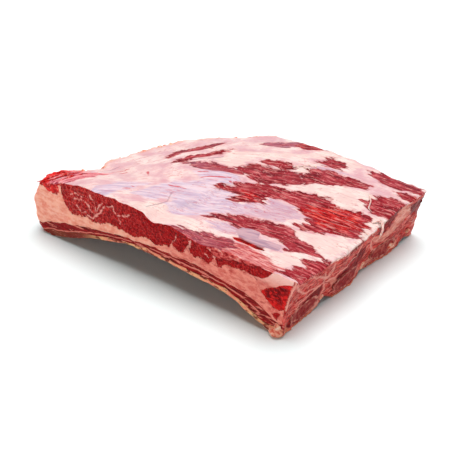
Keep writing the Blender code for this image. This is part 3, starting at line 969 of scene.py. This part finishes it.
def cover_tones(place):
    """Colour, roughness and fine relief of the top, all the way across."""
    grain, grain_left = Tone.kept("grain", 1), Tone.kept("grain_left", 1)
    leftness = Tone.kept("leftness")

    def fibrous(along, across, detail, seed):
        sizes = (along, across, across)
        lines = (line.noise(sizes, detail, 0.55, seed) for line in (grain, grain_left))
        return blend(*lines, leftness)

    middle = fibrous(30, 4.2, 3, 1)
    fine = fibrous(14, 1.5, 2, 2)
    strands = fibrous(18, 2.6, 4, 3)
    uneven = place.noise(7, 4, 0.6, seed=15)
    ends = Tone.kept("fibres_end") * 0.8 + 0.2
    frayed = ((middle - 0.5) * 17 + (fine - 0.5) * 8) * ends
    edge = Tone.kept("bare") + frayed + (uneven - 0.5) * 9 + 0.6
    window = edge.rise(-0.3, 0.6) * Tone.kept("flap").rise(0.4, -0.4)

    cloud = place.noise(16, 3, seed=4)
    fat = mixed(cloud.rise(0.35, 0.65), (212, 162, 168), (234, 206, 200))
    white = (Tone.kept("white") + (middle - 0.5) * 8).rise(-1.5, 1.5)
    silver = (Tone.kept("silver") + (middle - 0.5) * 14 + (cloud - 0.5) * 8).rise(-2, 2)
    pink = (Tone.kept("pink") + (middle - 0.5) * 12).rise(-1.5, 1.5)
    film = mixed(middle.rise(0.38, 0.62), (194, 170, 190), (222, 196, 204))
    film = film.towards(strands.rise(0.44, 0.36) * 0.6, (184, 152, 174))
    film = film.towards(Tone.kept("along").rise(150, 190) * 0.6, (194, 146, 158))
    fat = fat.towards(silver, film)
    fat = fat.towards(white, mixed(cloud.rise(0.4, 0.6), (226, 192, 186), (232, 208, 200)))
    marbling = place.noise((9, 2.6, 2.6), 4, 0.65, seed=5)
    marbled = mixed(marbling.rise(0.42, 0.56), (176, 58, 60), (216, 132, 126))
    fat = fat.towards(pink, marbled.towards(marbling.rise(0.58, 0.66), (228, 176, 170)))
    fat = fat.towards(strands.rise(0.58, 0.66) * 0.3, (228, 200, 196))
    fat = fat.towards(fine.rise(0.56, 0.64) * 0.3, (232, 208, 204))
    fat = fat.towards(fine.rise(0.44, 0.36) * 0.3, (200, 134, 144))
    rim = (Tone.kept("from_left") + (cloud - 0.5) * 16).rise(7, 2)
    fat = fat.towards(rim * 0.6, mixed(fine.rise(0.4, 0.6), (222, 150, 126), (228, 186, 168)))
    threads = abs(fibrous(34, 5, 3, 5) - 0.5).rise(0.022, 0.004) * cloud.rise(0.44, 0.54)
    fat = fat.towards(threads * 0.55, (190, 84, 92))
    fleck = Tone.kept("fleck") + (fine - 0.5) * 5
    fat = fat.towards(fleck.rise(1.3, 0.5) * 0.85, (196, 70, 78))
    fat = fat.towards(Tone.kept("mark").rise(1.1, 0.3) * 0.5, (120, 84, 96))
    fat = fat.towards(edge.rise(-1.8, -0.2) * 0.5, (206, 116, 116))
    flap = Tone.kept("flap").rise(-0.4, 0.4)
    fat = fat.towards(flap, mixed(middle.rise(0.4, 0.6), (166, 130, 146), (196, 156, 164)))

    red = mixed(strands.rise(0.36, 0.5), (108, 14, 26), (154, 34, 44))
    red = red.towards(strands.rise(0.54, 0.64) * 0.85, (204, 92, 96))
    bright = (Tone.kept("bright") + (cloud - 0.5) * 30 + (middle - 0.5) * 24).rise(-1, 7)
    orange = mixed(strands.rise(0.38, 0.54), (124, 2, 10), (192, 20, 22))
    # The pale orange along the strands of the bright red muscle is a painted highlight.
    red = red.towards(bright * 0.9, orange.towards(strands.rise(0.55, 0.68), (236, 84, 66)))
    red = red.towards(Tone.kept("film") * middle.rise(0.3, 0.6) * 0.6, (176, 112, 128))
    red = red.towards(fine.rise(0.56, 0.64) * 0.6, (226, 148, 142))
    red = red.towards(fine.rise(0.43, 0.36) * 0.4, (84, 0, 12))
    # Painted glints: pale specks over the wet muscle in the windows.
    specks = place.noise(2.4, 3, 0.6, seed=21).rise(0.58, 0.68)
    red = red.towards(specks * 0.5, (224, 142, 140))
    # Painted shade: the muscle is darker just inside each window's edge, where the cap's rim shades the
    # sunken window.
    red = red.towards(edge.rise(2.4, 0.2) * 0.35, (112, 14, 24))
    colour = mixed(window, fat, red).towards(torn_edge(place), torn_tones(place))
    slit = mixed(fine.rise(0.4, 0.6), (110, 4, 8), (206, 40, 32))
    colour = colour.towards(Tone.kept("slit").rise(-0.6, 0.4), slit)
    rough = 0.34 + (cloud - 0.5) * 0.2 + window * 0.06
    relief = strands * (0.35 + window * 1.2) + fine * (0.15 + window * 0.5)
    return colour, rough, relief


def firm_fat(place, cloud):
    """The fat on the near cut: pale salmon at the left, deeper to the right, paler high by the corner."""
    fat = mixed(cloud.rise(0.35, 0.65), (236, 134, 112), (250, 174, 150))
    fat = fat.towards(place.noise(3, 3, 0.6, seed=19).rise(0.5, 0.66) * 0.4, (252, 194, 176))
    streaks = place.noise((12, 12, 1.8), 3, seed=5)
    along = Tone.kept("along")
    fat = fat.towards(streaks.rise(0.5, 0.64) * along.rise(30, 10) * 0.4, (250, 190, 172))
    deeper = mixed(cloud.rise(0.4, 0.6), (208, 86, 78), (228, 126, 112))
    fat = fat.towards(along.rise(90, 190) * 0.8, deeper)
    high = Tone.kept("high").rise(46, 62) * along.rise(225, 255)
    return fat.towards(high, (250, 190, 178))


def grainy_lean(place):
    """The upper muscle where it's cut across: dark red grains, paler and webbed towards the left end."""
    granules = place.cells(2.2)
    crumbs = place.noise(1.4, 3, 0.6)
    cloud = place.noise(12, 3, seed=9)
    grainy = granules * 0.55 + crumbs * 0.6
    leftness = Tone.kept("along").rise(120, 30)
    lean = mixed(grainy.rise(0.34, 0.6), (92, 0, 4), (160, 4, 12))
    lean = lean.towards(cloud.rise(0.48, 0.62) * 0.4, (184, 12, 16))
    webs = (place.cells((7, 7, 6), "DISTANCE_TO_EDGE", 3) + (crumbs - 0.5) * 0.2).rise(0.12, 0.02)
    lean = lean.towards(webs * leftness * 0.35, (220, 98, 88))
    lean = lean.towards(grainy.rise(0.6, 0.8) * (0.4 + leftness * 0.4), (222, 62, 56))
    # Pale specks: partly flecks of fat in the muscle, partly painted glints of its wet cut surface.
    lean = lean.towards(crumbs.rise(0.62, 0.7) * (0.45 + leftness * 0.3), (238, 130, 120))
    return lean, grainy


def ragged_line(place, name):
    """Above 0 on the upper side of the boundary that the named value measures height from."""
    return Tone.kept(name) + (place.noise((3.5, 3.5, 2.5), 4, 0.6, seed=12) - 0.5) * 8


def seam_fat_tones():
    place = Tone.place()
    top_colour, _, top_relief = cover_tones(place)
    cloud = place.noise((9, 9, 5), 3, seed=6)
    grainy = place.noise(1.2, 2)
    fat = firm_fat(place, cloud)
    fat = fat.towards(grainy.rise(0.5, 0.7) * 0.25, (248, 176, 156))
    fat = fat.towards(ragged_line(place, "over_seam").rise(-0.2, 0.4), grainy_lean(place)[0])
    blood = place.noise((10, 10, 4), 4, 0.6, seed=8).rise(0.58, 0.66)
    fat = fat.towards(blood * Tone.kept("along").rise(90, 190) * 0.6, (178, 42, 40))
    lobe = Tone.kept("red_lobe") + (place.noise(6, 2, 0.5, seed=9) - 0.5) * 8
    depth = Tone.kept("under") + (place.noise(6, 2, 0.5, seed=9) - 0.5) * 6
    redness = place.noise((5, 5, 3), 3, seed=3).rise(0.36, 0.6)
    specks = place.noise(2.4, 3, seed=10).rise(0.58, 0.66)
    hanging = mixed(redness, (160, 6, 14), (226, 42, 40))
    hanging = hanging.towards(specks * 0.8, (240, 150, 132))
    fat = fat.towards((torn_edge(place) * depth.rise(4.5, 3.5)).most(lobe.rise(-0.5, 0.7)), hanging)
    fat = fat.towards((Tone.kept("low_red") + (cloud - 0.5) * 8).rise(-0.5, 1), grainy_lean(place)[0])
    fat = fat.towards(Tone.kept("from_right").rise(3, 1.5), sawn_end(place))
    on_top = (Tone.kept("under") + (grainy - 0.5) * 1.5).rise(1.3, 0.5)
    colour = fat.towards(on_top, top_colour)
    return colour, 0.36 + (cloud - 0.5) * 0.15, blend(grainy * 0.3, top_relief, on_top)


seam_fat_finish = finish("seam_fat_firm", seam_fat_tones, below=0.2)


def fat_shows(s, t):
    """Cells where the fat, and not the muscle, is the top of the slab."""
    return there_any(seam(s, t) > top(s, t) - 3)


def outer_values(points, sides):
    """What the finishes of the two upper layers need: on the top, on the near cut and on the sawn end."""
    s, t = shares(points)
    return cover_values(points, top(s, t) - points[:, 2]) | end_values(points, sides) | {
        "along": points[:, 0].copy(),
        "high": points[:, 2].copy(),
        "from_left": sides[3],
        "over_seam": points[:, 2] - seam(s, t),
    }


points, faces, sides = layer(rib_top, fat_top, 26, nowhere, fat_shows)
on_cut = points[:, (0, 2)]
kept = outer_values(points, sides) | {
    "red_lobe": inside_by(on_cut, RED_LOBE) - sides[0],
    "low_red": inside_by(on_cut, LOW_RED) - sides[0],
}
lifted = cover_relief(points, kept, sides)
points = roughened(points, sides, 0.05, 8, 3, 91)
points[:, 2] += lifted
piece("seam_fat_band", points, faces, kept, seam_fat_finish, "seam_fat")


# The upper muscle and its cap
# The thick muscle above the seam, dark red and grainy where it is cut across. A thin cap of fat and
# silverskin covers it, and where that was trimmed too deep the muscle shows in ragged windows.

# The near cut in (x, z): veins of fat, the fat above the squarish muscle by the corner, and that muscle
NEAR_VEINS = (
    ((34, 52), (44, 55), (50, 53), (55, 48), (59, 44)),
    ((55, 64), (58, 59), (61, 54), (60, 46), (57, 41)),
    ((68, 62), (65, 55), (61, 46)),
    ((71, 59), (66, 50), (60, 43)),
    ((71, 59), (81, 63), (84, 58), (88, 55), (101, 60)),
    ((88, 55), (92, 50), (90, 46)),
    ((36, 46), (41, 43), (47, 44)),
    ((46, 39), (55, 40), (65, 46)),
    ((30, 55), (36, 60), (43, 58)),
    ((151, 50), (153, 54), (156, 60)),
    ((172, 61), (171, 54), (165, 48)),
    ((189, 53), (190, 49)),
    ((199, 54), (195, 51)),
)
FAT_WEDGE = (
    (234, 51), (243, 52), (250, 53), (256, 57), (260, 63), (262, 70), (292, 70), (286, 61), (267, 53),
    (264, 50), (254, 45), (249, 41), (249, 35), (252, 31), (240, 28), (234, 45),
)
SQUARE_MUSCLE = (
    (249, 41), (254, 45), (264, 50), (267, 53), (285, 61), (290, 58), (284, 46), (278, 33), (265, 27),
    (260, 29), (254, 25), (252, 31), (249, 35),
)
PATCH_FRONT = (
    (186, 78), (190, 60), (198, 56), (206, 55), (213, 58), (228, 60.5), (248, 64), (262, 66), (262, 78),
)
SQUARE_CORE = ((254, 42), (264, 49), (271, 52), (276, 50), (267, 44), (269, 36), (264, 37), (254, 37))


def upper_lean_tones():
    place = Tone.place()
    top_colour, top_rough, top_relief = cover_tones(place)
    lean, grainy = grainy_lean(place)
    crumbs = place.noise(1.4, 3, 0.6)
    vein = Tone.kept("vein") + (place.noise(4, 4, 0.6, seed=1) - 0.5) * 4.5
    lean = lean.towards(vein.rise(1.1, 0.1) * 0.9, (238, 158, 146))
    patch = Tone.kept("patch") + (place.noise((7, 7, 4), 3, 0.55, seed=14) - 0.5) * 9
    lean = lean.towards(patch.rise(-2.4, -0.6) * 0.6, (96, 0, 8))
    lumps = place.noise((6, 6, 3.4), 4, 0.6, seed=18)
    marbled = mixed(lumps.rise(0.4, 0.52), (150, 12, 20), (212, 82, 78))
    lean = lean.towards(patch.rise(-0.4, 0.6), marbled.towards(lumps.rise(0.54, 0.64), (238, 158, 146)))
    ragged_edge = (place.noise(4, 4, 0.65, seed=5) - 0.5) * 7
    core = (Tone.kept("square_core") + ragged_edge).rise(-4, 1.5)
    rim = place.noise((5, 5, 2.2), 4, 0.65, seed=2)
    square = mixed(rim.rise(0.4, 0.6), (166, 2, 8), (220, 30, 28))
    square = square.towards(core * rim.rise(0.64, 0.45) * 0.9, (100, 2, 8))
    lean = lean.towards((Tone.kept("square") + ragged_edge * 0.6).rise(-1.2, 0.8), square)
    wedge = firm_fat(place, place.noise((9, 9, 5), 3, seed=6))
    lean = lean.towards(ragged_line(place, "over_seam").rise(0.4, -0.2), wedge)
    lean = lean.towards((Tone.kept("wedge") + ragged_edge * 0.3).rise(-0.5, 0.5), wedge)
    face = sawn_end(place)
    across = Tone.kept("across") + (crumbs - 0.5) * 10
    by_far_corner = across.rise(183, 190) * (Tone.kept("under") + (crumbs - 0.5) * 6).rise(9, 5)
    corner_red = mixed(crumbs.rise(0.4, 0.6), (150, 14, 16), (220, 70, 54))
    face = face.towards(by_far_corner, corner_red)
    rim_depth = Tone.kept("under") + (place.noise((3, 3, 5), 4, 0.6, seed=16) - 0.5) * 12
    middle_stretch = across.rise(54, 62) * across.rise(152, 146)
    far_stretch = across.rise(174, 178) * across.rise(190, 186)
    face = face.towards(rim_depth.rise(2.6, 1.4) * middle_stretch.most(far_stretch), (236, 196, 184))
    lean = lean.towards(Tone.kept("from_right").rise(3, 1.5), face)
    corner = Tone.kept("from_right").most(Tone.kept("from_near"))
    lean = lean.towards((corner + (crumbs - 0.5) * 2).rise(1.8, 0.6), (232, 150, 136))
    on_top = (Tone.kept("under") + (crumbs - 0.5) * 1.6).rise(1, 0.3)
    on_top = on_top * (Tone.kept("from_near") + (crumbs - 0.5)).rise(0.1, 0.6)
    colour = lean.towards(on_top, top_colour)
    rough = blend(0.32 + (crumbs - 0.5) * 0.3, top_rough, on_top)
    return colour, rough, blend(grainy * 1.3, top_relief, on_top)


lean_finish = finish("upper_lean_flesh", upper_lean_tones)
points, faces, sides = layer(fat_top, top, 26, nowhere, everywhere)
on_cut = points[:, (0, 2)]
bent = np.stack([soft_noise(points, 7, 97), soft_noise(points, 7, 98)], axis=1) * 1.8
kept = outer_values(points, sides) | {
    "across": points[:, 1].copy(),
    "vein": from_lines(on_cut + bent, NEAR_VEINS) + sides[0],
}
near_parts = {
    "square": SQUARE_MUSCLE, "square_core": SQUARE_CORE, "patch": PATCH_FRONT, "wedge": FAT_WEDGE,
}
for label, outline in near_parts.items():
    kept[label] = inside_by(on_cut, outline) - sides[0]
lifted = cover_relief(points, kept, sides)
points = roughened(points, sides, -0.05, 3.2, 1.7, 95)
points[:, 2] += lifted
piece("upper_lean_muscle", points, faces, kept, lean_finish, "upper_lean")


# The torn and loose bits
# Shreds that the knife and the saw left: red strands at the near left corner, a peachy fringe along the
# torn left edge, white curls over the sawn end, and lumps of fat at its lower edge.

SHRED_SIDES = 10


def shred(line, thickness, seed):
    """Points and faces of a closed, tapering shred of tissue along a line."""
    line = np.array(line, float)
    steps = np.linspace(0, len(line) - 1, 6 * len(line) - 4)
    middle = np.stack([np.interp(steps, np.arange(len(line)), column) for column in line.T], axis=1)
    smooth = middle.copy()
    smooth[1:-1] = (middle[:-2] + 2 * middle[1:-1] + middle[2:]) / 4
    heading = np.gradient(smooth, axis=0)
    heading /= np.linalg.norm(heading, axis=1)[:, None]
    aside = np.cross(heading, (0.1, 0.2, 1))
    aside /= np.linalg.norm(aside, axis=1)[:, None]
    above = np.cross(heading, aside)
    share = steps / steps[-1]
    thick = thickness * (0.25 + 0.75 * np.sin(math.pi * np.clip(share * 0.85 + 0.1, 0, 1)))
    turn = np.linspace(0, 2 * math.pi, SHRED_SIDES, endpoint=False)[None, :, None]
    oval = np.cos(turn) * aside[:, None] + 0.6 * np.sin(turn) * above[:, None]
    rings = (smooth[:, None] + thick[:, None, None] * oval).reshape(-1, 3)
    first = smooth[:1] - heading[:1] * thick[0]
    last = smooth[-1:] + heading[-1:] * thick[-1]
    points = np.concatenate([first, rings, last])
    points = points + 0.25 * thickness * soft_noise(points, 1.6, seed)[:, None]
    return points, tube_faces(len(smooth), SHRED_SIDES)


def shreds(name, lines, material):
    """One mesh of many shreds, each a line and a thickness."""
    every_point, every_face, count = [], [], 0
    for number, (line, thickness) in enumerate(lines):
        points, faces = shred(line, thickness, 200 + number)
        every_point.append(points)
        every_face += [[v + count for v in face] for face in faces]
        count += len(points)
    points = np.concatenate(every_point)
    points[:, 2] = np.maximum(points[:, 2], 0.1)
    piece(name, points, every_face, {}, material, None)


def over_top(x, y, lift):
    """A place above the slab's top, or beside its edge at the same height."""
    s = np.clip(share_along(x, y), 0.005, 0.995)
    return (x, y, float(top(s, np.clip(y / WIDTH, 0.005, 0.995))) + lift)


def tissue(first, second, third):
    def tones():
        place = Tone.place()
        cloud = place.noise(3, 3)
        colour = mixed(cloud.rise(0.35, 0.5), first, second).towards(cloud.rise(0.52, 0.68), third)
        return colour, 0.4 + (cloud - 0.5) * 0.2, cloud * 0.6

    return tones


white_fat = tissue((214, 160, 152), (228, 190, 180), (236, 212, 202))
torn_red = tissue((140, 10, 16), (192, 32, 32), (226, 130, 118))
peachy_fat = tissue((206, 84, 66), (232, 150, 124), (238, 196, 174))
white_bits = finish("loose_white_fat", white_fat, below=0.2)
red_bits = finish("torn_red_tissue", torn_red)
peach_bits = finish("torn_peachy_fringe", peachy_fat, below=0.2)
chance = np.random.default_rng(5)

curls = []
for number in range(13):
    y = 72 + 6 * number + chance.uniform(-2.5, 2.5)
    edge = float(right_edge(y))
    start = over_top(edge - chance.uniform(4, 8), y + chance.uniform(-3, 6), -0.6)
    bend = over_top(edge - 1.5, y, 0.1)
    tip = (edge + 0.2, y - chance.uniform(-1, 3), bend[2] - chance.uniform(1, 6))
    curls.append(((start, bend, tip), chance.uniform(0.3, 0.8)))
hook = ((272, 137, 0.6), (276, 141, 1.8), (281, 139, 2), (284.5, 134, 0), (285, 130, -4), (284, 128, -8))
curls.append(([over_top(x, y, lift) for x, y, lift in hook], 1.1))
loop = ((247, 168, 0.2), (252, 163, 0.9), (257, 157, 1.2), (259, 150, 0.8), (264, 148, 0.2))
curls.append(([over_top(x, y, lift) for x, y, lift in loop], 0.6))
for x, y in ((169, 164), (174, 168), (178, 173), (183, 174), (180, 167)):
    ends = ((x - 3, y - 2, 0.1), (x, y + 1, 0.9), (x + 3, y - 1, 0.1))
    curls.append(([over_top(x, y, lift) for x, y, lift in ends], chance.uniform(0.8, 1.4)))
shreds("white_curls", curls, white_bits)

tears = []
for number in range(26):
    x, y = chance.uniform(-10, 20), chance.uniform(1, 30)
    if x > float(left_edge(y)) + 1:
        turn = math.radians(58 + chance.uniform(-14, 14))
        length = chance.uniform(5, 12)
        stops = [
            over_top(x + length * part * math.cos(turn), y + length * part * math.sin(turn), lift)
            for part, lift in ((-0.5, -0.3), (0, 0.6), (0.5, chance.uniform(-0.5, 0.8)))
        ]
        tears.append((stops, chance.uniform(0.5, 1)))
shreds("torn_corner_strands", tears, red_bits)

fringe = []
fringe_places = (
    (44, 1.8), (62, 1), (84, 1.2), (104, 1.2), (109, 1.7), (121, 1.1), (126, 2.1), (131, 1.6), (137, 2.2),
    (143, 1.3), (156, 1.5), (171, 1), (188, 1.6), (203, 1.2),
)
for y, size in fringe_places:
    x = float(left_edge(y))
    aside = chance.uniform(-4, 4)
    ends = ((x + 5, y + aside, -1.4), (x + 1, y, -0.6), (x + 0.3 - size, y - aside, -2.5))
    fringe.append(([over_top(x, y, lift) for x, y, lift in ends], size))
shreds("torn_left_fringe", fringe, peach_bits)


LUMP_SIDES = 28
LUMP_RINGS = 15


def lump(centre, radii, seed):
    """Points and faces of a closed, uneven ball of fat."""
    around = np.linspace(0, 2 * math.pi, LUMP_SIDES, endpoint=False)
    rising = np.linspace(-math.pi / 2, math.pi / 2, LUMP_RINGS + 2)[1:-1, None]
    ball = np.stack([
        np.cos(rising) * np.cos(around),
        np.cos(rising) * np.sin(around),
        np.sin(rising) + 0 * around,
    ], axis=-1)
    ball = np.concatenate([[(0, 0, -1)], ball.reshape(-1, 3), [(0, 0, 1)]])
    points = centre + ball * radii
    uneven = 1 + 0.16 * soft_noise(points, 3.2, seed) + 0.07 * soft_noise(points, 1.6, seed + 1)
    return centre + ball * radii * uneven[:, None], tube_faces(LUMP_RINGS, LUMP_SIDES)


low_lumps = [lump((264.5, -0.5, 5), (6.5, 4.2, 5), 301), lump((267, 2.5, 10), (5, 4, 5.5), 303)]
for y, z, size in ((62, 9, 2.2), (127, 6, 2.4), (131, 8, 2), (172, 9, 2.6), (177, 6, 2.2), (205, 9, 2.2)):
    x = float(end_places(np.array(y), np.array(z), 1)) - 0.6
    low_lumps.append(lump((x, y, z), (size * 0.9, size * 1.9, size), 310 + y))
for number, (points, faces) in enumerate(low_lumps, start=1):
    points[:, 2] = np.maximum(points[:, 2], 0.1)
    piece(f"low_fat_lump_{number}", points, faces, {}, peach_bits, None)


# The table, the light and the camera
# A plain white table, a big soft lamp almost overhead, a little to the far side, and two weaker low ones:
# one in front of the near cut, and one off the sawn end.

def lamp(name, turn, height, spread, strength):
    """A soft far lamp from a direction: degrees round from the slab's left end, and degrees up."""
    data = bpy.data.lights.new(name, "SUN")
    data.energy = strength
    data.angle = math.radians(spread)
    turn, height = math.radians(turn), math.radians(height)
    flat = math.cos(height)
    towards = Vector((-math.cos(turn) * flat, math.sin(turn) * flat, math.sin(height)))
    placed(name, data).rotation_euler = towards.to_track_quat("Z", "Y").to_euler()


table = bpy.data.meshes.new("table")
table.from_pydata([(-6, -6, 0), (6, -6, 0), (6, 6, 0), (-6, 6, 0)], [], [(0, 1, 2, 3)])
white = bpy.data.materials.new("white_table")
white.use_nodes = True
paper = white.node_tree.nodes["Principled BSDF"].inputs
paper["Base Color"].default_value = (0.84, 0.9, 0.9, 1)
paper["Roughness"].default_value = 0.8
table.materials.append(white)
placed("table", table)

world = bpy.data.worlds.new("studio")
world.use_nodes = True
room = world.node_tree.nodes["Background"].inputs
room["Color"].default_value = (0.7, 1, 1, 1)
room["Strength"].default_value = 0.1
bpy.context.scene.world = world
lamp("key", 75, 78, 56, 3.85)
lamp("front", -65, 3, 40, 1.65)
lamp("right", 165, 6, 50, 1.1)
bpy.context.scene.view_settings.view_transform = "Standard"

AZIMUTH = math.radians(37.9234)
ELEVATION = math.radians(31)
DISTANCE = 1.1
AIM = Vector((0.018814, -0.0292, 0.03))
flat = math.cos(ELEVATION)
back = Vector((math.sin(AZIMUTH) * flat, -math.cos(AZIMUTH) * flat, math.sin(ELEVATION)))
camera = placed("camera", bpy.data.cameras.new("camera"))
camera.data.lens = 94.6236
camera.data.clip_start = 0.05
camera.location = AIM + back * DISTANCE
camera.rotation_euler = (-back).to_track_quat("-Z", "Y").to_euler()
bpy.context.scene.camera = camera
